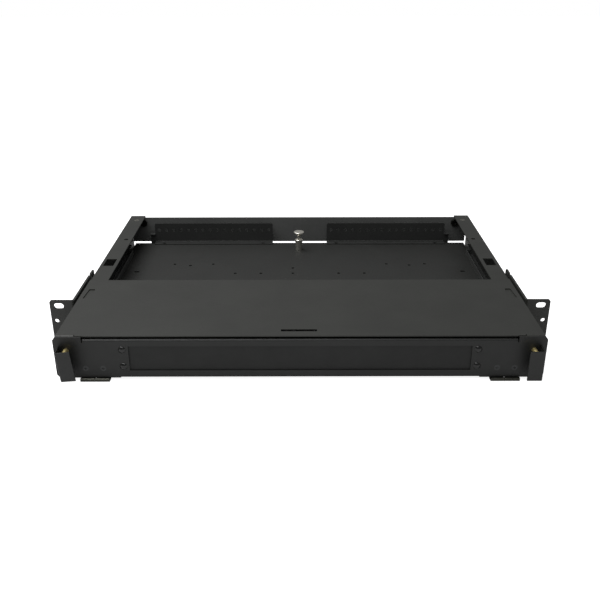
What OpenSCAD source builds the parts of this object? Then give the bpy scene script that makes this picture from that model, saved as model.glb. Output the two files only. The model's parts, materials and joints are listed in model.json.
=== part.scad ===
// Rack-mount fibre termination box, one rack unit high, with a sliding
// tray, a fold-down front door and an open rear half.
// Axes: +X to the right seen from the front, +Y to the rear, +Z up.
// The origin is the centre of the footprint on the resting plane.

/* [Housing] */
// Width of the folded housing
body_w = 431; // [350:0.1:520]
// Depth of the housing from the cover's front edge to the rear
body_d = 338.5; // [280:0.1:420]
// Overall height of the panel, one rack unit
panel_h = 43.66; // [38:0.01:60]
// Sheet thickness of the housing
shell_t = 1.2; // [0.8:0.1:1.5]
// Width of the inward flanges along the side walls
flange_w = 18.9; // [16:0.1:22]
// Outer bend radius of the folded sheets
bend_r = 1.9; // [1.6:0.1:2.4]
// How far the bottom plate is set back at the front
bottom_setback = 6; // [5:0.5:15]

/* [Front cover] */
// Depth of the front cover
cover_d = 127; // [125:0.5:140]
// How far the front cover's sides stand in from the side walls
cover_inset = 0.9; // [0:0.1:2]
// Thickness of the front cover
cover_t = 1.0; // [0.8:0.1:1.5]
// Width of the cover's bent-down front corners
corner_w = 16.5; // [14:0.5:17]
// Height of the cover's bent-down front corners
corner_h = 23; // [20:0.5:24]
// Depth of the stiffening lip at the cover's rear edge
cover_lip = 2.4; // [2.2:0.1:2.6]

/* [Rack ears] */
// How far each ear stands out from the side wall
ear_reach = 25.8; // [22:0.1:32]
// Distance from a rack slot's middle to the ear's outer edge
slot_edge = 8.75; // [8:0.05:9.5]
// Distance from a rack slot's middle to the ear's upper or lower edge
slot_margin = 5.955; // [5:0.005:7]
// End-to-end length of a rack slot
slot_len = 9.6; // [8:0.1:12]
// Width of a rack slot
slot_w = 6; // [5:0.1:7.2]
// Distance from the cover's front edge to the ears' front face
ear_setback = 73.6; // [20:0.1:120]
// Height of the ears' lower edge above the resting plane
ear_lift = 0.7; // [0:0.1:1.5]
// Thickness of the ears
ear_t = 2.2; // [1.5:0.1:2.7]
// Length of the leaf that runs back along the side wall
ear_leaf = 78.4; // [65:0.1:100]
// Gap between the side wall and the ear's leaf
ear_gap = 1.5; // [1:0.1:2]

/* [Tray] */
// Gap between the tray floor's side edge and the side wall
tray_gap = 6.1; // [5:0.1:7]
// Height of the tray floor's top face
floor_z = 12; // [11.8:0.1:13]
// Thickness of the tray sheet
tray_t = 1.2; // [1:0.1:1.4]
// Gap between the housing's rear edge and the tray's rear edge
tray_rear_gap = 17; // [15:0.5:30]
// How far the tray slides out
tray_travel = 180; // [150:1:190]
// Width of the runners
runner_w = 7.8; // [6.5:0.1:9.4]
// Gap between the runners and the slide rails
runner_gap = 2.4; // [2:0.1:2.8]
// Height of the runners' inner lips above the tray floor
lip_h = 6.3; // [5:0.1:7]
// Height of the runners' outer walls above the tray floor
runner_wall_h = 4.6; // [4:0.1:5.5]
// Distance from the runners' rear ends to the tray's rear edge
runner_end_gap = 38.5; // [30:0.5:60]
// Gap kept between sliding pieces
slide_gap = 0.3; // [0.3:0.05:0.5]

/* [Lacing bars] */
// Gap between the lacing bars and the underside of the front cover
lacing_gap = 5.76; // [4:0.01:8]
// Gap between the end of a lacing bar and the runner beside it
lacing_end_gap = 13.8; // [8:0.1:60]
// Distance from the middle to the near end of a lacing bar
lacing_x = 34.2; // [20:0.1:42]
// Number of holes in a lacing bar
lacing_holes = 16; // [6:1:16]
// Diameter of the lacing holes
lacing_hole_d = 4.2; // [3:0.1:5]

/* [Plunger] */
// Distance from the tray's rear edge to the plunger
plunger_inset = 23.5; // [16:0.5:40]
// Distance of the plunger from the middle, to the left
plunger_shift = 1.1; // [0:0.1:4]
// Outer diameter of the plunger's barrel
barrel_d = 9.75; // [9.5:0.05:11.7]
// Height of the plunger's barrel
barrel_h = 13.7; // [12:0.1:15]
// Diameter of the plunger's knob
knob_d = 12.9; // [11:0.1:15]
// Height of the knob's top above the tray floor
knob_top = 23.2; // [22.4:0.1:25]
// Diameter of the plunger's pin
pin_d = 5; // [4.8:0.1:5.4]
// How far the plunger lifts
plunger_lift = 5; // [4:0.5:5]

/* [Door] */
// How far the door stands out past each side wall
door_overhang = 1.3; // [0:0.1:4]
// Thickness of the door sheet
door_t = 1.2; // [1:0.1:1.5]
// Gap between the closed door and the cover's front edge
door_gap = 0.7; // [0.6:0.1:1]
// Height of the door's lower edge
door_z = 3.05; // [3:0.05:3.4]
// Distance from a hinge to the door's window
window_side = 18.6; // [17:0.1:50]
// Distance from the window to the door's upper edge
window_head = 6.5; // [5.5:0.1:12]
// Height of the window's lower edge
window_z = 10.3; // [9:0.1:12]
// Distance from the side wall to the notches in the door's upper edge
notch_inset = 24.9; // [21:0.1:30]
// Distance from the side wall to the outer end of a hinge
hinge_inset = 19.8; // [18:0.1:24]
// Distance from the window rivets to the window
rivet_gap = 5.5; // [5.2:0.1:6.4]

/* [Pull tabs] */
// How far the pull tabs stand in front of the door
tab_reach = 12.1; // [10:0.1:16]
// Width of a pull tab
tab_w = 13.6; // [11:0.1:15]
// Height of a pull tab
tab_h = 28.7; // [24:0.1:29]
// Lean of the left pull tab about its latch, in degrees
tab_lean = 5; // [0:0.5:6]
// Distance from a latch to the side wall
latch_inset = 9.7; // [9:0.1:11]
// Distance from the latches to the top of the panel
latch_drop = 13.16; // [12:0.01:15]
// Outer diameter of a latch barrel
latch_d = 4.2; // [4:0.1:4.6]
// How far a latch pin pulls out
latch_travel = 4; // [3.5:0.1:4.5]

/* [Adapters] */
// Distance from the cover's front edge to the adapter bulkhead
bulkhead_y = 60; // [50:1:75]
// Gap between two adapter plates
plate_gap = 3; // [1:0.5:6]
// Distance between two adapters of a plate
adapter_pitch = 18; // [16:0.5:24]

/* [Hidden] */
$fn = 48;

body_col = [0.10, 0.10, 0.10];
rail_col = [0.22, 0.22, 0.23];
steel_col = [0.55, 0.55, 0.53];
nickel_col = [0.80, 0.79, 0.74];
brass_col = [0.80, 0.62, 0.22];
nylon_col = [0.06, 0.06, 0.06];
adapter_col = [0.12, 0.30, 0.60];
cap_col = [0.75, 0.76, 0.78];

eps = 0.01;
coil_sides = 8;
half_w = body_w / 2;
wall_h = panel_h - cover_t;
inner_x = half_w - shell_t;
flange_x = half_w - flange_w;
cover_x = half_w - cover_inset;
corner_x = cover_x - corner_w;
tray_front = 1.8;
tray_rear = body_d - tray_rear_gap;
rear_y = body_d - 3.6;
door_y = -door_gap - door_t;
tab_y = door_y - tab_reach;
tab_t = 1.2;
tab_r = 1.5;
mid_y = (body_d + tab_y) / 2;
door_w = body_w + 2 * door_overhang;
door_top = panel_h - 0.26;
door_mid_top = wall_h - 1.76;
window_top = door_mid_top - window_head;
window_h = window_top - window_z;

// Hinge of the door: a barrel in front of the door's lower edge
knuckle_r = 1.75;
hinge_pin_r = 0.8;
hinge_y = door_y - 1.7;
hinge_z = knuckle_r + 0.1;
hinge_len = 25.9;
hinge_in = half_w - hinge_inset - hinge_len;
window_w = 2 * (hinge_in - window_side);
window_rivet_x = window_w / 2 + rivet_gap;
window_rivet_z = [window_z + 4.2, window_top - 3.4];
notch_x = half_w - notch_inset;
fold_x = hinge_in - 9.8;
leaf_t = 1;
frame_leaf_y = tray_front - leaf_t;
door_screw_z = floor_z + 0.5;
door_screw_x = [hinge_in + 5.1, hinge_in + 20.7];
frame_rivet_z = 6;

// Slide rails on the side walls and runners on the tray
rail_t = 1;
rail_low_z = floor_z - tray_t - slide_gap;
rail_high_z = floor_z + runner_wall_h + slide_gap;
rail_y = 20;
rail_len = body_d - 38.5 - rail_y;
rail_rivet_y = [rail_y + 20, rail_y + rail_len / 2, rail_y + rail_len - 20];
rail_rivet_z = floor_z + 0.7;
tray_w = 2 * (inner_x - tray_gap);
runner_x = inner_x - rail_t - runner_gap;
lip_x = runner_x - runner_w;
runner_front = 6;
runner_len = tray_rear - runner_end_gap - runner_front;
runner_t = 0.8;
lip_t = 1;
runner_cap = 5;
ledge_end = runner_x - 2.6;
runner_rivet_x = tray_w / 2 - 2.6;
runner_rivet_y = [runner_front + 24, runner_front + runner_len / 2, runner_front + runner_len - 13];
ledge_x = tray_w / 2 - 4.7;

// Screws of the rack ears: distance behind the ear's face and height
ear_screw_at = [[16.7, 32], [16.7, 22], [56.7, 26]];
ear_screw_r = 2;
ear_x = half_w + ear_gap;
rack_w = body_w + 2 * ear_reach;
slot_x = rack_w / 2 - slot_edge;
slot_pitch = panel_h - 2 * slot_margin;
ear_round_x = rack_w / 2 - 5;
ear_round_r = 2.15;

// Screws, holes and windows of the side flanges
flange_screw_y = body_d - 18.1;
flange_screw_x = half_w - 11.1;
flange_hole_y = body_d - 88.2;
flange_window_y = 167.3;
flange_window = [11, 19.8];
flange_window_x = half_w - 4.2 - flange_window[0];

// Window over the side flange, and the slot for a label, in the front cover
cover_window_y = [80.5, 102.3];
label_slot = [32, 3.9];
label_slot_at = [-1, 8.7];

// Rear wall
rear_wall_w = 2 * inner_x - 2.4;
rear_wall_shift = -0.8;
rear_lug = [13.2, 22];
rear_wall_z = 9.2;
rear_bolt_x = inner_x - 16.3;
rear_bolt_z = wall_h - 8.26;

// Latches: a barrel on the door guides a sprung pin that the pull tab draws
latch_x = half_w - latch_inset;
latch_z = panel_h - latch_drop;
tab_z = latch_z - 24.7;
latch_bore_r = latch_d / 2 - 0.5;
latch_pin_r = 1.45;
latch_stem_r = 0.9;
latch_nose = 3;
latch_collar_y = door_y - 1;
latch_front = tab_y + tab_t + 1.8;
latch_cap = 1;
bush_bore_r = 2.3;

// Plunger
plunger_y = tray_rear - plunger_inset;
shank_r = 4;
chamber_r = barrel_d / 2 - 1.175;
stem_r = chamber_r - 1.45;
knob_h = 4.6;
knob_socket = 1.5;
collar_z = floor_z + 1.3;
collar_t = 1.7;
chamber_top = floor_z + barrel_h - 1.5;
nut_h = 2.3;
slot_clear = 0.4;

// Adapter bulkhead
bulkhead_t = 1.2;
bulkhead_top = wall_h - shell_t - 1;
bulkhead_half = tray_w / 2 - 14.4;
bulkhead_foot = 14;
bulkhead_rivet_x = [40, bulkhead_half - 5.8];
bulkhead_hole_y = bulkhead_y + 8;
plate_pitch = 2 * bulkhead_half / 3;
plate_w = plate_pitch - plate_gap;
plate_t = 1.6;
plate_z = floor_z + 1.4;
plate_h = bulkhead_top - plate_z - 0.5;
plate_margin = 9;
adapters = floor((plate_w - 2 * plate_margin) / adapter_pitch);
adapter_z = plate_z + plate_h / 2;
cutout_w = plate_w - 2 * plate_margin + 1;
cutout_h = plate_h - 5;
adapter_w = 12.8;
adapter_h = 9.2;
adapter_len = 28;
socket = [9.6, 6.8, 11];
plate_rivet_x = plate_w / 2 - 4;

// Lacing bars
lacing_y = tray_rear + 3.5;
lacing_t = 1.2;
lug_w = 5.9;
lug_h = 11.5;
lug_lip = 3.4;
lacing_len = lip_x - lacing_end_gap - lug_w - lacing_x;
lacing_top = wall_h - lacing_gap;
lacing_pitch = (lacing_len - 10.6) / (lacing_holes - 1);
lacing_hole_z = lacing_top - 8.7;
lacing_foot = 11.2;
lacing_screw_x = [lacing_x + 12, lacing_x + lacing_len - 12];
lacing_screw_y = tray_rear - 4;

// Holes in the tray floor: distance from the middle and from the rear edge
floor_holes = [[148, 73], [129.2, 77], [102.6, 73], [74.4, 101.5], [44.8, 101.5]];
floor_mid_holes = [[-8, 85.5], [-8, 101.5]];
floor_slot = [lip_x - 14.3, 96.2];
floor_hole_r = 1.75;

// Everything is drawn from the cover's front edge and then centred
module place() translate([0, -mid_y, 0]) children();
module side(s) mirror([s < 0 ? 1 : 0, 0, 0]) children();
module both() for (s = [-1, 1]) side(s) children();

module round_rect(w, h, r) {
    translate([r, 0]) square([w - 2 * r, h]);
    translate([0, r]) square([w, h - 2 * r]);
    for (x = [r, w - r], y = [r, h - r]) translate([x, y]) circle(r);
}

// Profile in X and Z, drawn out along +Y
module along_y(y, len) translate([0, y + len, 0]) rotate([90, 0, 0]) linear_extrude(len) children();

// Profile in Y and Z, drawn out along +X
module along_x(x, len) translate([x, 0, 0]) rotate([90, 0, 90]) linear_extrude(len) children();

// Cylinders along the three axes, starting at the point p
module rod_x(p, r, len) translate(p) rotate([0, 90, 0]) cylinder(r = r, h = len);
module rod_y(p, r, len) translate(p) rotate([-90, 0, 0]) cylinder(r = r, h = len);
module rod_z(p, r, len) translate(p) cylinder(r = r, h = len);

// Countersunk screw pointing down, its flat head at the height z
module flat_screw(x, y, z, head_r, shank_r, len) {
    head_h = head_r - shank_r;
    difference() {
        union() {
            translate([x, y, z - head_h]) cylinder(r1 = shank_r, r2 = head_r, h = head_h);
            rod_z([x, y, z - len], shank_r, len - head_h + eps);
        }
        for (a = [0, 90]) translate([x, y, z - 0.5]) rotate([0, 0, a])
            translate([-1.3, -0.3, 0]) cube([2.6, 0.6, 1]);
    }
}

// Seat of a countersunk screw pointing down
module flat_seat(x, y, z, head_r, shank_r, depth) {
    head_h = head_r - shank_r;
    translate([x, y, z - head_h]) cylinder(r1 = shank_r, r2 = head_r, h = head_h);
    rod_z([x, y, z - depth], shank_r, depth);
    rod_z([x, y, z - eps], head_r, 1);
}

// Coil spring round the Z axis, standing on Z = 0, with its length over the ends
function coil_point(r, wire, rise, steps, i, j) =
    let (a = 360 * i / steps, b = 360 * j / coil_sides, d = r + wire * cos(b))
    [d * cos(a), d * sin(a), wire + rise * i / steps + wire * sin(b)];

module coil(r, wire, turns, length) {
    steps = 14;
    last = turns * steps;
    rise = (length - 2 * wire) / turns;
    points = [for (i = [0 : last], j = [0 : coil_sides - 1]) coil_point(r, wire, rise, steps, i, j)];
    skin = [for (i = [0 : last - 1], j = [0 : coil_sides - 1])
        let (a = i * coil_sides, k = (j + 1) % coil_sides)
        [a + j, a + k, a + coil_sides + k, a + coil_sides + j]];
    ends = [[for (j = [coil_sides - 1 : -1 : 0]) j],
            [for (j = [0 : coil_sides - 1]) last * coil_sides + j]];
    polyhedron(points, concat(skin, ends));
}

// Folded sheet in Y and Z: a level leg from y to y_end at the top z, and a
// leg of the height drop that is bent down at the end y
module fold_down(y, y_end, z, drop, t) {
    difference() {
        union() {
            translate([y + bend_r, z - t]) square([y_end - y - bend_r, t]);
            translate([y, z - drop]) square([t, drop - bend_r]);
            translate([y + bend_r, z - bend_r]) intersection() {
                circle(bend_r);
                translate([-bend_r, 0]) square(bend_r);
            }
        }
        translate([y + bend_r, z - bend_r]) circle(bend_r - t);
    }
}

// The same with the leg bent up from the level leg's lower face at the height z
module fold_up(y, y_end, z, rise, t)
    translate([0, 2 * z]) mirror([0, 1]) fold_down(y, y_end, z, rise, t);

module housing_profile() {
    difference() {
        translate([-half_w, 0]) round_rect(body_w, wall_h, bend_r);
        translate([-inner_x, shell_t]) round_rect(2 * inner_x, wall_h - 2 * shell_t, bend_r - shell_t);
        translate([-flange_x, wall_h / 2]) square([2 * flange_x, wall_h]);
    }
}

module housing_shell() color(body_col) place() {
    difference() {
        along_y(bend_r, body_d - bend_r) housing_profile();
        translate([-inner_x, -eps, -1]) cube([2 * inner_x, bottom_setback + eps, shell_t + 1 + eps]);
        both() {
            translate([flange_window_x, flange_window_y, wall_h - 3])
                cube([flange_window[0], flange_window[1], 5]);
            rod_z([flange_screw_x - 1, flange_hole_y, wall_h - 3], 2.5, 5);
            flat_seat(flange_screw_x, flange_screw_y, wall_h, 3.15, 1.5, 3);
            for (y = rail_rivet_y) rod_x([inner_x - 1, y, rail_rivet_z], 1.6, shell_t + 2);
            for (p = ear_screw_at) rod_x([inner_x - 1, ear_setback + p[0], p[1]], ear_screw_r, shell_t + 2);
        }
        for (d = [0, tray_travel])
            rod_z([-plunger_shift, plunger_y - d, -1], pin_d / 2 + slot_clear, shell_t + 2);
        translate([-plunger_shift - pin_d / 2 - slot_clear, plunger_y - tray_travel, -1])
            cube([pin_d + 2 * slot_clear, tray_travel, shell_t + 2]);
    }
}

module front_cover() color(body_col) place() {
    difference() {
        union() {
            translate([-corner_x, 0, wall_h]) cube([2 * corner_x, cover_d - bend_r, cover_t]);
            both() along_x(corner_x, corner_w) fold_down(0, cover_d, panel_h, corner_h, cover_t);
            translate([0, cover_d, 0]) mirror([0, 1, 0])
                along_x(-flange_x + 0.6, 2 * flange_x - 1.2)
                    fold_down(0, bend_r + 1, panel_h, cover_lip, cover_t);
            both() translate([flange_x - 0.6, cover_d - bend_r - eps, wall_h])
                cube([corner_x - flange_x + 0.6 + eps, bend_r + eps, cover_t]);
        }
        both() {
            // relief slit beside the bent-down corner
            translate([corner_x - 0.4, -1, wall_h - 1]) cube([0.8, 3.4, cover_t + 2]);
            // trapezoid window over the side flange
            translate([0, 0, wall_h - 1]) linear_extrude(cover_t + 2)
                polygon([[cover_x - 12.7, cover_window_y[0]], [cover_x - 3.9, cover_window_y[0]],
                         [cover_x - 5.2, cover_window_y[1]], [cover_x - 10.8, cover_window_y[1]]]);
            rod_y([latch_x, -1, latch_z], 3.5, 4);
        }
        // label slot near the front edge
        translate([label_slot_at[0] - label_slot[0] / 2, label_slot_at[1], wall_h - 1])
            cube([label_slot[0], label_slot[1], cover_t + 2]);
    }
}

module rear_wall() color(body_col) place() translate([rear_wall_shift, 0, 0]) {
    top = wall_h - shell_t;
    difference() {
        union() {
            along_y(rear_y, 1.2) {
                translate([-rear_wall_w / 2, rear_wall_z])
                    round_rect(rear_wall_w, top - rear_wall_z, 1);
                translate([-rear_wall_w / 2, top - 4]) square([rear_wall_w, 4]);
            }
            both() translate([rear_wall_w / 2 - rear_lug[0], rear_y - rear_lug[1], top - 1.2])
                cube([rear_lug[0], rear_lug[1] + eps, 1.2]);
        }
        both() rod_y([rear_bolt_x, rear_y - 1, rear_bolt_z], 2, 4);
        for (s = [-1, 1])
            flat_seat(s * flange_screw_x - rear_wall_shift, flange_screw_y, wall_h, 3.15, 1.5, 5);
    }
}

module rear_wall_bolts() color(nylon_col) place() translate([rear_wall_shift, 0, 0]) both() {
    difference() {
        rod_y([rear_bolt_x, rear_y - 2.6, rear_bolt_z], 4.35, 2.6);
        rod_y([rear_bolt_x, rear_y - 3, rear_bolt_z], 1.6, 1.9);
    }
    rod_y([rear_bolt_x, rear_y - eps, rear_bolt_z], 2, 2.6);
}

module flange_screws() color(steel_col) place() both()
    flat_screw(flange_screw_x, flange_screw_y, wall_h, 3.15, 1.5, 5);

module ear_flat() {
    difference() {
        intersection() {
            translate([ear_x, 0]) round_rect(rack_w / 2 - ear_x, panel_h, 2.5);
            translate([ear_x + ear_t + 0.6, -1]) square([rack_w, panel_h + 2]);
        }
        translate([ear_round_x, panel_h / 2]) circle(ear_round_r);
        for (d = [-1, 1]) translate([slot_x, panel_h / 2 + d * slot_pitch / 2]) {
            for (e = [-1, 1]) translate([e * (slot_len - slot_w) / 2, 0]) circle(slot_w / 2);
            square([slot_len - slot_w, slot_w], center = true);
        }
    }
}

module rack_ear() difference() {
    bend = ear_t + 0.6;
    translate([0, 0, ear_lift]) difference() {
        union() {
            along_y(ear_setback, ear_t) ear_flat();
            translate([ear_x, ear_setback + bend, 0]) cube([ear_t, ear_leaf - bend, panel_h]);
            intersection() {
                translate([ear_x + bend, ear_setback + bend, 0]) cylinder(r = bend, h = panel_h);
                translate([ear_x, ear_setback, 0]) cube([bend, bend, panel_h]);
            }
        }
        translate([ear_x + bend, ear_setback + bend, -1]) cylinder(r = bend - ear_t, h = panel_h + 2);
        translate([ear_x - 1, ear_setback + ear_leaf - 15, panel_h - 8]) cube([ear_t + 2, 4, 9]);
    }
    for (p = ear_screw_at) rod_x([ear_x - 1, ear_setback + p[0], p[1]], ear_screw_r, ear_t + 2);
}

module rack_ear_left() color(body_col) place() side(-1) rack_ear();
module rack_ear_right() color(body_col) place() side(1) rack_ear();

module ear_screws() color(nylon_col) place() both() for (p = ear_screw_at) {
    y = ear_setback + p[0];
    difference() {
        rod_x([ear_x + ear_t, y, p[1]], 3.6, 2);
        for (a = [0, 90]) translate([ear_x + ear_t + 1, y, p[1]]) rotate([a, 0, 0])
            translate([0, -1.6, -0.35]) cube([2, 3.2, 0.7]);
    }
    rod_x([inner_x - 0.6, y, p[1]], ear_screw_r, ear_x + ear_t - inner_x + 0.6 + eps);
}

module ear_spacers() color(steel_col) place() both() for (p = ear_screw_at) difference() {
    rod_x([half_w, ear_setback + p[0], p[1]], 4.5, ear_gap);
    rod_x([half_w - 1, ear_setback + p[0], p[1]], ear_screw_r, ear_gap + 2);
}

module slide_rail() difference() {
    along_y(rail_y, rail_len) {
        translate([inner_x - rail_t, rail_low_z - rail_t])
            square([rail_t, rail_high_z - rail_low_z + 2 * rail_t]);
        translate([ledge_x, rail_low_z - rail_t]) square([inner_x - ledge_x - eps, rail_t]);
        translate([runner_x - 1.9, rail_high_z]) square([inner_x - runner_x + 1.9 - eps, rail_t]);
    }
    for (y = rail_rivet_y) rod_x([inner_x - rail_t - 1, y, rail_rivet_z], 1.6, rail_t + 2);
}
module slide_rail_left() color(rail_col) place() side(-1) slide_rail();
module slide_rail_right() color(rail_col) place() side(1) slide_rail();

module rail_rivets() color(steel_col) place() both()
    for (y = rail_rivet_y) rod_x([inner_x - rail_t, y, rail_rivet_z], 1.6, shell_t + rail_t);

module latch_bushes() color(nylon_col) place() both() difference() {
    union() {
        rod_y([latch_x, -0.35, latch_z], 4.5, 0.35);
        rod_y([latch_x, -eps, latch_z], 3.5, 2.2);
        rod_y([latch_x, cover_t, latch_z], 3.9, 1.2 - eps);
    }
    rod_y([latch_x, -1, latch_z], bush_bore_r, 5);
}

module tray_pan() color(body_col) place() difference() {
    along_x(-tray_w / 2, tray_w) fold_down(tray_front, tray_rear, floor_z, floor_z - shell_t - 0.5, tray_t);
    both() {
        for (p = floor_holes) rod_z([p[0], tray_rear - p[1], floor_z - 3], floor_hole_r, 5);
        for (e = [-1.3, 1.3])
            rod_z([floor_slot[0] + e, tray_rear - floor_slot[1], floor_z - 3], floor_hole_r, 5);
        translate([floor_slot[0] - 1.3, tray_rear - floor_slot[1] - floor_hole_r, floor_z - 3])
            cube([2.6, 2 * floor_hole_r, 5]);
        for (y = runner_rivet_y) rod_z([runner_rivet_x, y, floor_z - 3], 1.5, 5);
        for (x = lacing_screw_x) rod_z([x, lacing_screw_y, floor_z - 3], 1.2, 5);
        for (x = bulkhead_rivet_x) rod_z([x, bulkhead_hole_y, floor_z - 3], 1.6, 5);
        for (x = door_screw_x) rod_y([x, tray_front - 1, frame_rivet_z], 1.5, 4);
    }
    for (p = floor_mid_holes) rod_z([p[0], tray_rear - p[1], floor_z - 3], floor_hole_r, 5);
    rod_z([-plunger_shift, plunger_y, floor_z - 3], shank_r, 5);
}

// Channel with a tall inner lip and a lower outer wall, closed at its rear end
module tray_runner() {
    rear = runner_front + runner_len;
    difference() {
        union() {
            along_y(runner_front, runner_len) {
                translate([lip_x, floor_z]) square([runner_x - lip_x, runner_t]);
                translate([runner_x - runner_t, floor_z]) square([runner_t, runner_wall_h]);
                translate([lip_x, floor_z]) square([lip_t, lip_h - lip_t / 2]);
                translate([lip_x + lip_t / 2, floor_z + lip_h - lip_t / 2]) circle(lip_t / 2);
            }
            translate([lip_x, rear - runner_cap, floor_z])
                cube([runner_x - lip_x, runner_cap, runner_wall_h]);
            translate([lip_x, rear - lip_t, floor_z]) cube([ledge_end - lip_x, lip_t, lip_h]);
            translate([lip_x, rear - runner_cap, floor_z + runner_wall_h - eps])
                cube([ledge_end - lip_x, runner_cap, lip_h - runner_wall_h + eps]);
        }
        for (y = runner_rivet_y) rod_z([runner_rivet_x, y, floor_z - 1], 1.5, runner_t + 1 + eps);
        translate([lip_x - eps, rear + eps, floor_z - 1]) mirror([0, 1, 0])
            linear_extrude(lip_h + 2) difference() {
                square(2.5);
                translate([2.5, 2.5]) circle(2.5);
            }
    }
}
module tray_runner_left() color(rail_col) place() side(-1) tray_runner();
module tray_runner_right() color(rail_col) place() side(1) tray_runner();

module runner_rivets() color(steel_col) place() both()
    for (y = runner_rivet_y) rod_z([runner_rivet_x, y, floor_z - tray_t], 1.5, tray_t + runner_t);

module lacing_bar() {
    difference() {
        union() {
            along_y(lacing_y, lacing_t) {
                translate([lacing_x, lacing_top - 6]) round_rect(lacing_len, 6, 2.5);
                translate([lacing_x, floor_z + bend_r])
                    square([lacing_len, lacing_top - 3 - floor_z - bend_r]);
                translate([lacing_x + lacing_len - eps, floor_z - 1.6]) square([lug_w, lug_h + 1.6]);
            }
            translate([0, 2 * lacing_y + lacing_t, 0]) mirror([0, 1, 0]) along_x(lacing_x, lacing_len)
                fold_up(lacing_y, lacing_y + lacing_foot, floor_z, 3.2, lacing_t);
            translate([lacing_x + lacing_len - eps, lacing_y - lug_lip, floor_z + lug_h - lacing_t])
                cube([lug_w, lug_lip + eps, lacing_t]);
        }
        for (i = [0 : lacing_holes - 1])
            rod_y([lacing_x + 5.3 + i * lacing_pitch, lacing_y - 1, lacing_hole_z], lacing_hole_d / 2, 4);
        for (x = lacing_screw_x) flat_seat(x, lacing_screw_y, floor_z + lacing_t, 2.2, 1.2, 3);
    }
}
module lacing_bar_left() color(body_col) place() side(-1) lacing_bar();
module lacing_bar_right() color(body_col) place() side(1) lacing_bar();

module lacing_screws() color(nylon_col) place() both()
    for (x = lacing_screw_x) flat_screw(x, lacing_screw_y, floor_z + lacing_t, 2.2, 1.2, 3.4);

// The plunger's parts are drawn round its axis, with heights above the resting plane
module at_plunger() place() translate([-plunger_shift, plunger_y, 0]) children();

module plunger_barrel() color(nickel_col) at_plunger() difference() {
    top = floor_z + barrel_h;
    union() {
        rod_z([0, 0, floor_z], barrel_d / 2 - 0.7, barrel_h - 0.6);
        rod_z([0, 0, top - 3.2], barrel_d / 2, 2.6);
        translate([0, 0, top - 0.6]) cylinder(r1 = barrel_d / 2, r2 = barrel_d / 2 - 0.6, h = 0.6);
        rod_z([0, 0, floor_z - tray_t - nut_h], shank_r, tray_t + nut_h + eps);
    }
    rod_z([0, 0, floor_z - 5], pin_d / 2 + 0.08, 10);
    rod_z([0, 0, collar_z - 0.3], chamber_r, chamber_top - collar_z + 0.3);
    rod_z([0, 0, floor_z], stem_r + 0.08, barrel_h + 1);
}

module plunger_nut() color(nickel_col) at_plunger()
    translate([0, 0, floor_z - tray_t - nut_h]) difference() {
        cylinder(r = 6.4, h = nut_h, $fn = 6);
        rod_z([0, 0, -1], shank_r, nut_h + 2);
    }

module plunger_pin() color(steel_col) at_plunger() {
    translate([0, 0, 0.4]) cylinder(r1 = pin_d / 2 - 0.4, r2 = pin_d / 2, h = 0.4);
    rod_z([0, 0, 0.8], pin_d / 2, collar_z - 0.8 + eps);
    rod_z([0, 0, collar_z], chamber_r - 0.2, collar_t);
    rod_z([0, 0, collar_z], stem_r, floor_z + knob_top - knob_h + knob_socket - collar_z);
}

// Knob with a thin rounded rim on a tapered neck
module plunger_knob() color(nickel_col) at_plunger() translate([0, 0, floor_z + knob_top - knob_h])
    rotate_extrude() difference() {
        union() {
            polygon([[0, 0], [stem_r + 0.9, 0], [knob_d / 2 - 1.2, knob_h - 1.5], [0, knob_h - 1.5]]);
            translate([0, knob_h - 1.5]) square([knob_d / 2 - 0.75, 1.5]);
            translate([knob_d / 2 - 0.75, knob_h - 0.75]) circle(0.75);
        }
        square([stem_r, knob_socket]);
        translate([-knob_d, -1]) square([knob_d, knob_h + 2]);
    }

module plunger_spring() color(steel_col) at_plunger() translate([0, 0, collar_z + collar_t])
    coil((stem_r + chamber_r) / 2, 0.4, 4, chamber_top - collar_z - collar_t);

module adapter_bulkhead() color(body_col) place() difference() {
    union() {
        translate([-bulkhead_half, bulkhead_y, floor_z])
            cube([2 * bulkhead_half, bulkhead_t, bulkhead_top - floor_z]);
        translate([-bulkhead_half, bulkhead_y, floor_z])
            cube([2 * bulkhead_half, bulkhead_foot, bulkhead_t]);
    }
    for (k = [-1, 0, 1]) {
        translate([k * plate_pitch - cutout_w / 2, bulkhead_y - 1, adapter_z - cutout_h / 2])
            cube([cutout_w, bulkhead_t + 2, cutout_h]);
        for (e = [-1, 1]) rod_y([k * plate_pitch + e * plate_rivet_x, bulkhead_y - 1, adapter_z], 1.6, 4);
    }
    both() for (x = bulkhead_rivet_x) rod_z([x, bulkhead_hole_y, floor_z - 1], 1.6, 4);
}

module bulkhead_rivets() color(steel_col) place() both() for (x = bulkhead_rivet_x) {
    rod_z([x, bulkhead_hole_y, floor_z - tray_t], 1.6, tray_t + bulkhead_t + eps);
    rod_z([x, bulkhead_hole_y, floor_z + bulkhead_t], 2.8, 0.9);
}

// Place across the box of the adapter i on the plate k
function adapter_x(k, i) = k * plate_pitch + (i - (adapters - 1) / 2) * adapter_pitch;

module adapter_plate(k) difference() {
    translate([k * plate_pitch - plate_w / 2, bulkhead_y - plate_t, plate_z])
        cube([plate_w, plate_t, plate_h]);
    for (i = [0 : adapters - 1])
        translate([adapter_x(k, i) - adapter_w / 2 - 0.1,
                   bulkhead_y - plate_t - 1, adapter_z - adapter_h / 2 - 0.1])
            cube([adapter_w + 0.2, plate_t + 2, adapter_h + 0.2]);
    for (e = [-1, 1])
        rod_y([k * plate_pitch + e * plate_rivet_x, bulkhead_y - plate_t - 1, adapter_z], 1.6, 4);
}
module adapter_plate_left() color(body_col) place() adapter_plate(-1);
module adapter_plate_middle() color(body_col) place() adapter_plate(0);
module adapter_plate_right() color(body_col) place() adapter_plate(1);

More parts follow.
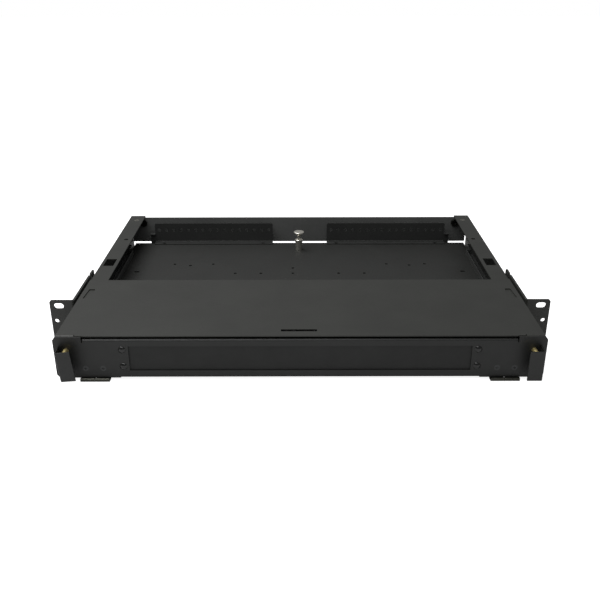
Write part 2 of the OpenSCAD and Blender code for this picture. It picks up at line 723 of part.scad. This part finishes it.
module plate_rivets() color(nylon_col) place() for (k = [-1, 0, 1], e = [-1, 1]) {
    x = k * plate_pitch + e * plate_rivet_x;
    rod_y([x, bulkhead_y - plate_t - 1.6, adapter_z], 3.2, 1.6);
    rod_y([x, bulkhead_y - plate_t - eps, adapter_z], 1.6, plate_t + bulkhead_t + 1.2);
}

// Adapters of one plate: hollow at both ends, with a collar on the plate's face
module adapter_row(k) for (i = [0 : adapters - 1])
    translate([adapter_x(k, i), bulkhead_y - plate_t, adapter_z]) difference() {
        union() {
            translate([-adapter_w / 2, -adapter_len / 2, -adapter_h / 2])
                cube([adapter_w, adapter_len, adapter_h]);
            translate([-adapter_w / 2 - 1.1, -2, -adapter_h / 2 - 0.9])
                cube([adapter_w + 2.2, 2, adapter_h + 1.8]);
        }
        for (m = [0, 1]) mirror([0, m, 0])
            translate([-socket[0] / 2, adapter_len / 2 - socket[2], -socket[1] / 2])
                cube([socket[0], socket[2] + 1, socket[1]]);
        rod_y([0, -5, 0], 1.25, 10);
    }
module adapters_left() color(adapter_col) place() adapter_row(-1);
module adapters_middle() color(adapter_col) place() adapter_row(0);
module adapters_right() color(adapter_col) place() adapter_row(1);

module dust_caps() color(cap_col) place() for (k = [-1, 0, 1], i = [0 : adapters - 1])
    translate([adapter_x(k, i), bulkhead_y - plate_t, adapter_z])
        for (m = [0, 1]) mirror([0, m, 0]) {
            translate([-socket[0] / 2 + 0.1, adapter_len / 2 - socket[2] + 0.2, -socket[1] / 2 + 0.1])
                cube([socket[0] - 0.2, socket[2] - 0.2, socket[1] - 0.2]);
            translate([-socket[0] / 2 - 0.6, adapter_len / 2, -socket[1] / 2 - 0.6])
                cube([socket[0] + 1.2, 1.4, socket[1] + 1.2]);
        }

// Lift-off hinge, right-hand one: the frame leaf has the inner knuckle and
// the door leaf has the outer one
module knuckle(x, len, bore) difference() {
    rod_x([x, hinge_y, hinge_z], knuckle_r, len);
    rod_x([x - 1, hinge_y, hinge_z], bore, len + 2);
}

module hinge_frame_leaf() {
    half = hinge_len / 2 - 0.15;
    difference() {
        union() {
            knuckle(hinge_in, half, hinge_pin_r);
            difference() {
                translate([hinge_in, hinge_y, hinge_z - knuckle_r])
                    cube([half, frame_leaf_y - hinge_y + leaf_t, leaf_t]);
                rod_x([hinge_in - 1, hinge_y, hinge_z], knuckle_r - 0.3, hinge_len);
            }
            translate([hinge_in, frame_leaf_y, hinge_z - knuckle_r]) cube([half, leaf_t, 3]);
            translate([hinge_in, frame_leaf_y, 1.6]) cube([hinge_len, leaf_t, 8.9]);
        }
        for (x = door_screw_x) rod_y([x, frame_leaf_y - 1, frame_rivet_z], 1.5, 4);
    }
}
module hinge_frame_leaf_left() color(rail_col) place() side(-1) hinge_frame_leaf();
module hinge_frame_leaf_right() color(rail_col) place() side(1) hinge_frame_leaf();

module hinge_pins() color(steel_col) place() both()
    rod_x([hinge_in + 0.5, hinge_y, hinge_z], hinge_pin_r, hinge_len - 2.5);

module frame_leaf_rivets() color(steel_col) place() both()
    for (x = door_screw_x) rod_y([x, frame_leaf_y, frame_rivet_z], 1.5, leaf_t + tray_t);

module hinge_door_leaf() {
    half = hinge_len / 2 - 0.15;
    x = hinge_in + hinge_len - half;
    difference() {
        union() {
            knuckle(x, half, hinge_pin_r + 0.08);
            difference() {
                translate([x, hinge_y, door_z - 1.1]) cube([half, -door_gap + leaf_t - hinge_y, leaf_t]);
                rod_x([x - 1, hinge_y, hinge_z], knuckle_r - 0.3, hinge_len);
            }
            translate([x, -door_gap, door_z - 1.1]) cube([half, leaf_t, 3]);
            translate([hinge_in, -door_gap, 4.3]) cube([hinge_len, leaf_t, 14.7]);
        }
        for (sx = door_screw_x) rod_y([sx, -door_gap - 1, door_screw_z], 1.5, 4);
    }
}
module hinge_door_leaf_left() color(rail_col) place() side(-1) hinge_door_leaf();
module hinge_door_leaf_right() color(rail_col) place() side(1) hinge_door_leaf();

// Countersunk screw of the door, its head flush with the door's front face
module door_screw(x, clear) translate([x, door_y, door_screw_z]) rotate([90, 0, 0])
    flat_screw(0, 0, 0, 2.7, 1.5, door_t + leaf_t + 0.5);

module door_hinge_screws() color(nylon_col) place() both() for (x = door_screw_x) door_screw(x);

module door_outline() {
    w = door_w / 2;
    polygon([[-w + 2.6, door_z], [w - 2.6, door_z], [w, door_z + 3.4], [w, door_top - 3],
             [w - 2.2, door_top], [notch_x + 1, door_top], [notch_x + 1, door_mid_top - 3],
             [notch_x, door_mid_top - 3], [notch_x, door_mid_top], [-notch_x, door_mid_top],
             [-notch_x, door_mid_top - 3], [-notch_x - 1, door_mid_top - 3], [-notch_x - 1, door_top],
             [-w + 2.2, door_top], [-w, door_top - 3], [-w, door_z + 3.4]]);
}

module door_panel() color(body_col) place() difference() {
    union() {
        difference() {
            along_y(door_y, door_t) door_outline();
            translate([-notch_x - eps, door_y - 1, door_mid_top - bend_r])
                cube([2 * notch_x + 2 * eps, door_t + 2, bend_r + 1]);
            translate([-fold_x, door_y - 1, door_z - 1]) cube([2 * fold_x, door_t + 2, bend_r + 1]);
        }
        along_x(-notch_x, 2 * notch_x) fold_down(door_y, 2, door_mid_top, bend_r + 0.5, door_t);
        along_x(-fold_x, 2 * fold_x) fold_up(door_y, 1.2, door_z, bend_r + 0.5, door_t);
    }
    translate([-window_w / 2, door_y - 1, window_z]) cube([window_w, door_t + 2, window_h]);
    both() {
        for (z = window_rivet_z) rod_y([window_rivet_x, door_y - 1, z], 2, 4);
        rod_y([latch_x, door_y - 1, latch_z], latch_d / 2, 4);
        for (x = door_screw_x) translate([x, door_y, door_screw_z]) rotate([90, 0, 0])
            flat_seat(0, 0, 0, 2.7, 1.5, 3);
    }
}

module window_plate() color(body_col) place() difference() {
    translate([-window_w / 2 - 9.5, -door_gap, window_z - 3.6]) cube([window_w + 19, 1, window_h + 7]);
    both() for (z = window_rivet_z) rod_y([window_rivet_x, -door_gap - 1, z], 2, 4);
}

// Push rivets with domed heads
module window_rivets() color(nylon_col) place() both() for (z = window_rivet_z) {
    translate([window_rivet_x, door_y, z]) rotate([90, 0, 0]) intersection() {
        translate([0, 0, -2.9]) sphere(r = 4.5);
        cylinder(r = 3.35, h = 3);
    }
    rod_y([window_rivet_x, door_y - eps, z], 2, door_t + 1);
    rod_y([window_rivet_x, -door_gap + 1 - eps, z], 2.3, 1.6);
}

// L-shaped pull tab, open towards the middle of the door
module pull_tab() {
    x_out = latch_x + tab_w / 2;
    reach = tab_reach - 0.3;
    difference() {
        union() {
            translate([x_out - tab_w, tab_y, tab_z]) cube([tab_w - tab_r, tab_t, tab_h]);
            translate([x_out - tab_t, tab_y + tab_r, tab_z]) cube([tab_t, reach - tab_r, tab_h]);
            intersection() {
                translate([x_out - tab_r, tab_y + tab_r, tab_z]) cylinder(r = tab_r, h = tab_h);
                translate([x_out - tab_r, tab_y, tab_z]) cube([tab_r, tab_r, tab_h]);
            }
        }
        translate([x_out - tab_r, tab_y + tab_r, tab_z - 1]) cylinder(r = tab_r - tab_t, h = tab_h + 2);
    }
}

// Turns a piece about the latch's axis
module lean(angle)
    translate([latch_x, 0, latch_z]) rotate([0, angle, 0]) translate([-latch_x, 0, -latch_z]) children();

module pull_tab_left() color(body_col) place() side(-1) lean(tab_lean) pull_tab();
module pull_tab_right() color(body_col) place() side(1) pull_tab();

module latch_barrel() difference() {
    rod_y([latch_x, latch_front, latch_z], latch_d / 2, -door_gap - latch_front);
    rod_y([latch_x, latch_front + latch_cap, latch_z], latch_bore_r, -latch_front);
    rod_y([latch_x, latch_front - 1, latch_z], latch_stem_r + 0.1, latch_cap + 2);
}
module latch_barrel_left() color(brass_col) place() side(-1) latch_barrel();
module latch_barrel_right() color(brass_col) place() side(1) latch_barrel();

module latch_pin() {
    rod_y([latch_x, latch_collar_y, latch_z], latch_pin_r, latch_nose - 0.5 - latch_collar_y);
    translate([latch_x, latch_nose - 0.5, latch_z]) rotate([-90, 0, 0])
        cylinder(r1 = latch_pin_r, r2 = latch_pin_r - 0.5, h = 0.5);
    rod_y([latch_x, tab_y + tab_t, latch_z], latch_stem_r, latch_collar_y - tab_y - tab_t + eps);
}
module latch_pin_left() color(brass_col) place() side(-1) latch_pin();
module latch_pin_right() color(brass_col) place() side(1) latch_pin();

module latch_spring() translate([latch_x, latch_collar_y, latch_z]) rotate([90, 0, 0])
    coil(latch_stem_r + 0.35, 0.2, 7, latch_collar_y - latch_front - latch_cap);
module latch_spring_left() color(steel_col) place() side(-1) latch_spring();
module latch_spring_right() color(steel_col) place() side(1) latch_spring();

housing_shell();
front_cover();
rear_wall();
rear_wall_bolts();
flange_screws();
rack_ear_left();
rack_ear_right();
ear_screws();
ear_spacers();
slide_rail_left();
slide_rail_right();
rail_rivets();
latch_bushes();
tray_pan();
tray_runner_left();
tray_runner_right();
runner_rivets();
lacing_bar_left();
lacing_bar_right();
lacing_screws();
plunger_barrel();
plunger_nut();
plunger_pin();
plunger_knob();
plunger_spring();
adapter_bulkhead();
bulkhead_rivets();
adapter_plate_left();
adapter_plate_middle();
adapter_plate_right();
plate_rivets();
adapters_left();
adapters_middle();
adapters_right();
dust_caps();
hinge_frame_leaf_left();
hinge_frame_leaf_right();
hinge_pins();
frame_leaf_rivets();
door_panel();
window_plate();
window_rivets();
hinge_door_leaf_left();
hinge_door_leaf_right();
door_hinge_screws();
latch_barrel_left();
latch_barrel_right();
pull_tab_left();
pull_tab_right();
latch_pin_left();
latch_pin_right();
latch_spring_left();
latch_spring_right();
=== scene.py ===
# %% [markdown]
# # A rack-mount fibre termination box
# The object is one rack unit high: a folded steel housing with a short front
# cover, a tray that slides out towards the reader, and a front door that folds
# down on two hinges. The CAD frame already holds every part at its real size,
# so this script only decides how the parts look.

# %% Load the frame
import json
import math

import bmesh
import bpy
from mathutils import Matrix, Vector


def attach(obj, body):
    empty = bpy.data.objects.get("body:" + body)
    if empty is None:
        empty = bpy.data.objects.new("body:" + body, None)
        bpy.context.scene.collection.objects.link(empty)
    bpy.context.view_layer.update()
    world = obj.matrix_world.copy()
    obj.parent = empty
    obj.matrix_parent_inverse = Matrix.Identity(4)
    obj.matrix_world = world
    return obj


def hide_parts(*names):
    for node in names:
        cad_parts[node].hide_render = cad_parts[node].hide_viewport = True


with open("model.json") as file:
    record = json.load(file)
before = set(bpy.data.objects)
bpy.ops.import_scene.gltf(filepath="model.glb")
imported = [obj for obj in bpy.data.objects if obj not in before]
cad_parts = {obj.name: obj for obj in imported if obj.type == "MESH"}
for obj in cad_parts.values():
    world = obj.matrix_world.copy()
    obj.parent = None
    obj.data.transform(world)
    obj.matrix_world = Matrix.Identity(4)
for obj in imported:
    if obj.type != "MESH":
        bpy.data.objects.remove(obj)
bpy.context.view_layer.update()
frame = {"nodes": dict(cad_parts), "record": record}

nodes = frame["nodes"]
MM = 0.001

# %% [markdown]
# ## Camera
# The box is seen from the front and a little above, with a normal lens. A
# camera looks along its own -Z axis, so turning it by 90 degrees about X makes
# it look along +Y, and a smaller turn makes it look down.

# %% Place the camera
scene = bpy.context.scene
CAMERA_PLACE = Vector((-0.7, -758.25, 348.7)) * MM
LOOK_DOWN = math.radians(24.43)
LOOK_RIGHT = math.radians(0.06)
LEAN = math.radians(-0.08)

camera = bpy.data.objects.new("camera", bpy.data.cameras.new("camera"))
camera.data.lens = 45.93
camera.data.sensor_width = 36
camera.location = CAMERA_PLACE
turn = Matrix.Rotation(-LOOK_RIGHT, 3, "Z") @ Matrix.Rotation(math.pi / 2 - LOOK_DOWN, 3, "X")
camera.rotation_euler = (turn @ Matrix.Rotation(LEAN, 3, "Z")).to_euler()
scene.collection.objects.link(camera)
scene.camera = camera

# %% [markdown]
# ## Stage and light
# Black sheet metal has almost no colour of its own: what the eye sees is the
# room reflected in it. A catalogue picture hangs a big soft lamp over the
# object, so the faces that look up turn grey and the upright ones stay dark.
# The paper round the object is printed white, whatever light falls on it. The
# world and the floor therefore look white to the camera and shed less light
# on the object, which a Light Path node tells apart. A narrow strip in front
# draws a thin bright line along each folded edge. The standard view transform
# keeps white paper white.

# %% Node helpers, world, floor and lamps
WORLD_STRENGTH = 0.26
PAPER_WHITE = (0.8, 0.8, 0.8, 1)
PAPER_ROUGHNESS = 0.9
PAPER_GLOW = 0.9
FLOOR_SIZE = 8.0
FLOOR_DROP = 0.0002
WHITE = (1, 1, 1, 1)
scene.view_settings.view_transform = "Standard"


def add(tree, kind, inputs=(), **settings):
    """Add a node to a tree, set its properties, and fill or link its inputs."""
    made = tree.nodes.new(kind)
    for name, value in settings.items():
        setattr(made, name, value)
    for name, value in dict(inputs).items():
        if isinstance(value, bpy.types.NodeSocket):
            tree.links.new(value, made.inputs[name])
        else:
            made.inputs[name].default_value = value
    return made


world = bpy.data.worlds.new("white_room")
scene.world = world
world.use_nodes = True
room = world.node_tree
seen = add(room, "ShaderNodeLightPath").outputs["Is Camera Ray"]
strength = add(room, "ShaderNodeMapRange", {"Value": seen, "To Min": WORLD_STRENGTH, "To Max": 1.0})
room.nodes["Background"].inputs["Color"].default_value = WHITE
room.links.new(strength.outputs["Result"], room.nodes["Background"].inputs["Strength"])

floor_mesh = bmesh.new()
bmesh.ops.create_grid(floor_mesh, x_segments=1, y_segments=1, size=FLOOR_SIZE / 2)
bmesh.ops.translate(floor_mesh, verts=floor_mesh.verts, vec=(0, 0, -FLOOR_DROP))
floor = bpy.data.objects.new("floor", bpy.data.meshes.new("floor"))
floor_mesh.to_mesh(floor.data)
floor_mesh.free()
scene.collection.objects.link(floor)

paper = bpy.data.materials.new("white_paper")
paper.use_nodes = True
sheet = paper.node_tree
matt = sheet.nodes["Principled BSDF"]
matt.inputs["Base Color"].default_value = PAPER_WHITE
matt.inputs["Roughness"].default_value = PAPER_ROUGHNESS
glow = add(sheet, "ShaderNodeEmission", {"Color": WHITE, "Strength": PAPER_GLOW})
both = add(sheet, "ShaderNodeAddShader")
sheet.links.new(glow.outputs["Emission"], both.inputs[0])
sheet.links.new(matt.outputs["BSDF"], both.inputs[1])
seen = add(sheet, "ShaderNodeLightPath").outputs["Is Camera Ray"]
choice = add(sheet, "ShaderNodeMixShader", {"Fac": seen})
sheet.links.new(matt.outputs["BSDF"], choice.inputs[1])
sheet.links.new(both.outputs["Shader"], choice.inputs[2])
sheet.links.new(choice.outputs["Shader"], sheet.nodes["Material Output"].inputs["Surface"])
floor.data.materials.append(paper)


def lamp(name, place, size, power, aim=(0, 0, 0.02)):
    """Hang a rectangular soft lamp at a place in metres, aimed at a point of the object."""
    light = bpy.data.lights.new(name, "AREA")
    light.shape = "RECTANGLE"
    light.size, light.size_y = size
    light.energy = power
    holder = bpy.data.objects.new(name, light)
    holder.location = place
    holder.rotation_euler = (Vector(aim) - Vector(place)).to_track_quat("-Z", "Y").to_euler()
    scene.collection.objects.link(holder)
    return holder


lamp("overhead_softbox", (-0.5, 0.1, 1.35), (1.4, 1.1), 18)
lamp("front_strip", (-0.4, -1.0, 1.3), (1.8, 0.12), 6)
print("camera, floor and lamps are in place")

# %% [markdown]
# ## Materials
# Each finish is a small node tree on the Principled shader. A colour is given
# as the hex value a designer would write, and one function turns it to the
# linear values that the shader works in. Two more spread a pattern over a
# range of values or colours, so a material reads from top to bottom.


# %% Colour helpers
def linear(hex_colour):
    """The linear colour of an sRGB hex value such as "#3a3c3b"."""
    values = [int(hex_colour[i:i + 2], 16) / 255 for i in (1, 3, 5)]
    lit = [v / 12.92 if v <= 0.04045 else ((v + 0.055) / 1.055) ** 2.4 for v in values]
    return tuple(lit) + (1.0,)


def shade(colour, factor):
    """A linear colour made darker or paler by a factor."""
    return tuple(c * factor for c in colour[:3]) + (1.0,)


def finish_of(name, **inputs):
    """A new material whose Principled shader has the given inputs, and its tree."""
    material = bpy.data.materials.new(name)
    material.use_nodes = True
    shader = material.node_tree.nodes["Principled BSDF"]
    for key, value in inputs.items():
        shader.inputs[key.replace("_", " ")].default_value = value
    return material, material.node_tree, shader


def spread(tree, value, low, high, start=0.3, end=0.7):
    """A value of a pattern between start and end, spread from low to high."""
    return add(tree, "ShaderNodeMapRange", {"Value": value, "From Min": start, "From Max": end,
                                            "To Min": low, "To Max": high}).outputs["Result"]


def ramp(tree, factor, low, high, start=0.35, end=0.65):
    """A colour ramp from low to high between two values of the factor."""
    made = add(tree, "ShaderNodeValToRGB", {"Fac": factor})
    made.color_ramp.elements[0].position = start
    made.color_ramp.elements[0].color = low
    made.color_ramp.elements[1].position = end
    made.color_ramp.elements[1].color = high
    return made


# %% [markdown]
# ### Black textured powder coat
# The sheet metal is dusted with dry polyester powder and baked, which leaves a
# fine sand-like grain about half a millimetre across. It breaks reflections up,
# so the surface looks dark grey where it mirrors a bright room. Three noises
# make it: the grain itself, a slow change of film thickness, and a faint
# handling sheen. The real grain is too fine to show at this distance, so it is
# drawn almost a millimetre wide. The rear wall gets a paler coat than the rest,
# which stands in for the brighter light that falls on it in a white room.


# %% Powder coat
GRAIN_MM = 0.9
GRAIN_DEPTH_MM = 0.12
CLOUD_MM = 45.0
TOUCH_MM = 18.0


def powder_coat(name, hex_colour, roughness, grain=0.35):
    """Sand-textured powder coat: grain, cloudy film and a handling sheen."""
    material, tree, shader = finish_of(name, Metallic=0.0, IOR=1.5)
    place = add(tree, "ShaderNodeTexCoord").outputs["Object"]
    cloud = add(tree, "ShaderNodeTexNoise",
                {"Vector": place, "Scale": 1 / (CLOUD_MM * MM), "Detail": 4.0})
    sand = add(tree, "ShaderNodeTexNoise",
               {"Vector": place, "Scale": 1 / (GRAIN_MM * MM), "Detail": 3.0, "Roughness": 0.6})
    base = linear(hex_colour)
    dark = shade(base, 0.9)
    pale = shade(base, 1.1)
    tone = ramp(tree, cloud.outputs["Fac"], dark, pale)
    touch = add(tree, "ShaderNodeTexNoise",
                {"Vector": place, "Scale": 1 / (TOUCH_MM * MM), "Detail": 5.0, "Distortion": 0.8})
    gloss = spread(tree, touch.outputs["Fac"], roughness - 0.03, roughness + 0.03)
    bump = add(tree, "ShaderNodeBump",
               {"Strength": grain, "Distance": GRAIN_DEPTH_MM * MM, "Height": sand.outputs["Fac"]})
    tree.links.new(tone.outputs["Color"], shader.inputs["Base Color"])
    tree.links.new(gloss, shader.inputs["Roughness"])
    tree.links.new(bump.outputs["Normal"], shader.inputs["Normal"])
    return material


housing_coat = powder_coat("powder_coat_housing", "#272825", 0.52)
tray_coat = powder_coat("powder_coat_tray", "#1a1b19", 0.6)
# The rear wall's paler coat is painted light: it stands in for the brighter light that falls on the wall
# in a white room
rear_painted_light_coat = powder_coat("powder_coat_rear_wall_painted_light", "#585958", 0.6)
bar_coat = powder_coat("powder_coat_lacing_bar", "#262726", 0.6)
door_coat = powder_coat("powder_coat_door", "#131413", 0.5)
runner_coat = powder_coat("powder_coat_tray_runner", "#3a3b3a", 0.35, grain=0.15)
tab_coat = powder_coat("powder_coat_pull_tab", "#181918", 0.5)
window_coat = powder_coat("powder_coat_window", "#141514", 0.65, grain=0.25)
print("powder coats are ready")

# %% [markdown]
# ### Turned, plated and moulded finishes
# Brass is turned on a lathe and keeps fine rings round its axis. Zinc plate is
# satin with a cloudy spangle. Nickel plate is bright and slightly warm. Moulded
# nylon is glossy and has a slow waviness from the cooling tool.


# %% Metal and plastic finishes
# A band texture of scale 1 draws about this many grooves and ridges in a unit
GROOVES_PER_UNIT = 6.3
PLATING_DEPTH_MM = 0.04
TOOL_DEPTH_MM = 0.05


def plated(name, hex_colour, roughness, spangle_mm=3.0):
    """Plated or bright metal with a cloudy change of gloss and painted shade in grooves."""
    material, tree, shader = finish_of(name, Metallic=1.0)
    place = add(tree, "ShaderNodeTexCoord").outputs["Object"]
    cloud = add(tree, "ShaderNodeTexNoise",
                {"Vector": place, "Scale": 1 / (spangle_mm * MM), "Detail": 5.0})
    base = linear(hex_colour)
    dark = shade(base, 0.85)
    tone = ramp(tree, cloud.outputs["Fac"], dark, base)
    # Pointiness is below a half in grooves, and there the colour is darkened towards near black as
    # painted shade
    shape = add(tree, "ShaderNodeNewGeometry").outputs["Pointiness"]
    crevice_shade = spread(tree, shape, 0.85, 0.0, start=0.38, end=0.48)
    shaded_tone = add(tree, "ShaderNodeMix", {"Factor": crevice_shade, "A": tone.outputs["Color"],
                                       "B": linear("#0c0c0c")}, data_type="RGBA")
    gloss = spread(tree, cloud.outputs["Fac"], roughness * 0.8, roughness * 1.3)
    bump = add(tree, "ShaderNodeBump",
               {"Strength": 0.3, "Distance": PLATING_DEPTH_MM * MM, "Height": cloud.outputs["Fac"]})
    tree.links.new(shaded_tone.outputs["Result"], shader.inputs["Base Color"])
    tree.links.new(gloss, shader.inputs["Roughness"])
    tree.links.new(bump.outputs["Normal"], shader.inputs["Normal"])
    return material


def turned(name, hex_colour, roughness, axis, groove_mm=0.35):
    """Lathe-turned metal: fine grooves that follow each other along the axis."""
    material, tree, shader = finish_of(name, Metallic=1.0)
    place = add(tree, "ShaderNodeTexCoord").outputs["Object"]
    scale = 1 / (groove_mm * MM) / GROOVES_PER_UNIT
    grooves = add(tree, "ShaderNodeTexWave",
                  {"Vector": place, "Scale": scale, "Distortion": 0.6, "Detail": 1.0},
                  wave_type="BANDS", bands_direction=axis)
    base = linear(hex_colour)
    dark = shade(base, 0.8)
    tone = ramp(tree, grooves.outputs["Fac"], dark, base, 0.2, 0.8)
    bump = add(tree, "ShaderNodeBump",
               {"Strength": 0.25, "Distance": TOOL_DEPTH_MM * MM, "Height": grooves.outputs["Fac"]})
    shader.inputs["Roughness"].default_value = roughness
    tree.links.new(tone.outputs["Color"], shader.inputs["Base Color"])
    tree.links.new(bump.outputs["Normal"], shader.inputs["Normal"])
    return material


def moulded(name, hex_colour, roughness, wave_mm=2.5):
    """Injection-moulded plastic: even colour, slight waviness and sheen change."""
    material, tree, shader = finish_of(name, Metallic=0.0, IOR=1.53)
    place = add(tree, "ShaderNodeTexCoord").outputs["Object"]
    waves = add(tree, "ShaderNodeTexNoise",
                {"Vector": place, "Scale": 1 / (wave_mm * MM), "Detail": 2.0})
    base = linear(hex_colour)
    dark = shade(base, 0.9)
    tone = ramp(tree, waves.outputs["Fac"], dark, base)
    gloss = spread(tree, waves.outputs["Fac"], roughness * 0.85, roughness * 1.2)
    bump = add(tree, "ShaderNodeBump",
               {"Strength": 0.15, "Distance": TOOL_DEPTH_MM * MM, "Height": waves.outputs["Fac"]})
    tree.links.new(tone.outputs["Color"], shader.inputs["Base Color"])
    tree.links.new(gloss, shader.inputs["Roughness"])
    tree.links.new(bump.outputs["Normal"], shader.inputs["Normal"])
    return material


brass = turned("turned_brass", "#fbe9a8", 0.5, "Y")
nickel = turned("turned_nickel", "#efece2", 0.3, "Z", groove_mm=0.6)
zinc = plated("zinc_plate", "#8d8c84", 0.35)
hinge_steel = plated("rolled_hinge_steel", "#4a4a45", 0.3, spangle_mm=4.0)
screw_steel = plated("black_zinc_screw_steel", "#4c4d4d", 0.45, spangle_mm=2.5)
black_oxide = plated("black_oxide_steel", "#3a3a38", 0.38, spangle_mm=1.5)
spring_wire = plated("drawn_spring_wire", "#b9b8b2", 0.25, spangle_mm=1.0)
nylon = moulded("moulded_black_nylon", "#0b0c0c", 0.13)
adapter_blue = moulded("moulded_adapter_blue", "#2f62a8", 0.4)
cap_white = moulded("moulded_cap_white", "#c6c8ca", 0.45)

print(len(bpy.data.materials), "materials")

# %% [markdown]
# ## Sheet metal with eased edges
# A CAD sheet has perfectly sharp edges, and real ones never are: shearing,
# folding and the baked film round them off by a quarter of a millimetre, and
# that small round is what catches the light and draws each outline. A copy of
# the CAD mesh is merged, its flat faces are joined again, and every hard edge
# is bevelled. The copy then stands for the CAD node.

# %% Ease the edges of a folded sheet
EDGE_MM = 0.25
EDGE_STEPS = 2
FLAT_ANGLE = math.radians(0.5)
HARD_ANGLE = math.radians(35)
CREASE_ANGLE = math.radians(50)
# A face is broad when its area is over this width times its outline's length
BROAD_MM = 1.5
BODY_OF = {n: body for body, names in frame["record"]["behaviour"]["bodies"].items() for n in names}


def show(name, mesh, node, material):
    """Turn a bmesh into a finished piece that stands for a CAD node and moves with it."""
    data = bpy.data.meshes.new(name)
    mesh.to_mesh(data)
    mesh.free()
    piece = bpy.data.objects.new(name, data)
    scene.collection.objects.link(piece)
    data.materials.append(material)
    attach(piece, BODY_OF[node])
    return piece


def eased(node, material, edge_mm=EDGE_MM):
    """A copy of a CAD node with every hard edge rounded."""
    mesh = bmesh.new()
    mesh.from_mesh(nodes[node].data)
    bmesh.ops.remove_doubles(mesh, verts=mesh.verts, dist=0.001 * MM)
    bmesh.ops.dissolve_limit(mesh, angle_limit=FLAT_ANGLE, verts=mesh.verts, edges=mesh.edges)
    hard = [e for e in mesh.edges if len(e.link_faces) == 2 and e.calc_face_angle() > HARD_ANGLE]
    bmesh.ops.bevel(mesh, geom=hard, offset=edge_mm * MM, offset_type="OFFSET", segments=EDGE_STEPS,
                    profile=0.5, affect="EDGES", material=-1, clamp_overlap=True)
    # Broad flat faces stay flat, narrow ones belong to bends and rounds
    for face in mesh.faces:
        face.smooth = face.calc_area() < BROAD_MM * MM * face.calc_perimeter()
    piece = show(node + "_finished", mesh, node, material)
    piece.data.set_sharp_from_angle(angle=CREASE_ANGLE)
    weigh = piece.modifiers.new("weigh", "WEIGHTED_NORMAL")
    weigh.keep_sharp = True
    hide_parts(node)
    return piece


sheet_finish = {
    "housing_shell": housing_coat, "front_cover": housing_coat, "rear_wall": rear_painted_light_coat,
    "rack_ear_left": housing_coat, "rack_ear_right": housing_coat,
    "slide_rail_left": tray_coat, "slide_rail_right": tray_coat,
    "tray_pan": tray_coat, "tray_runner_left": runner_coat, "tray_runner_right": runner_coat,
    "lacing_bar_left": bar_coat, "lacing_bar_right": bar_coat,
    "adapter_bulkhead": tray_coat,
    "adapter_plate_left": tray_coat, "adapter_plate_middle": tray_coat, "adapter_plate_right": tray_coat,
    "door_panel": door_coat, "window_plate": window_coat,
    "pull_tab_left": tab_coat, "pull_tab_right": tab_coat,
}
for node_name, coat in sheet_finish.items():
    made = eased(node_name, coat)
    print(node_name, len(made.data.polygons), "faces")

# %% [markdown]
# ## Finishes of the small parts
# The small turned and moulded parts are eased in the same way, by a finer round
# of an eighth of a millimetre, and each takes the finish it really has.

# %% Finish the remaining nodes
SMALL_EDGE_MM = 0.12
plain_finish = {
    "rear_wall_bolts": black_oxide, "ear_screws": black_oxide, "lacing_screws": black_oxide,
    "door_hinge_screws": screw_steel, "flange_screws": zinc,
    "ear_spacers": zinc, "rail_rivets": zinc, "runner_rivets": zinc, "bulkhead_rivets": zinc,
    "hinge_frame_leaf_left": hinge_steel, "hinge_frame_leaf_right": hinge_steel, "hinge_pins": zinc,
    "frame_leaf_rivets": zinc, "hinge_door_leaf_left": hinge_steel, "hinge_door_leaf_right": hinge_steel,
    "plunger_barrel": nickel, "plunger_nut": nickel, "plunger_knob": nickel, "plunger_pin": nickel,
    "plunger_spring": spring_wire, "latch_spring_left": spring_wire, "latch_spring_right": spring_wire,
    "latch_barrel_left": brass, "latch_barrel_right": brass,
    "latch_pin_left": brass, "latch_pin_right": brass,
    "latch_bushes": nylon, "window_rivets": nylon, "plate_rivets": nylon,
    "adapters_left": adapter_blue, "adapters_middle": adapter_blue, "adapters_right": adapter_blue,
    "dust_caps": cap_white,
}
for node_name, finish in plain_finish.items():
    eased(node_name, finish, edge_mm=SMALL_EDGE_MM)
print(len(plain_finish), "small nodes are finished")
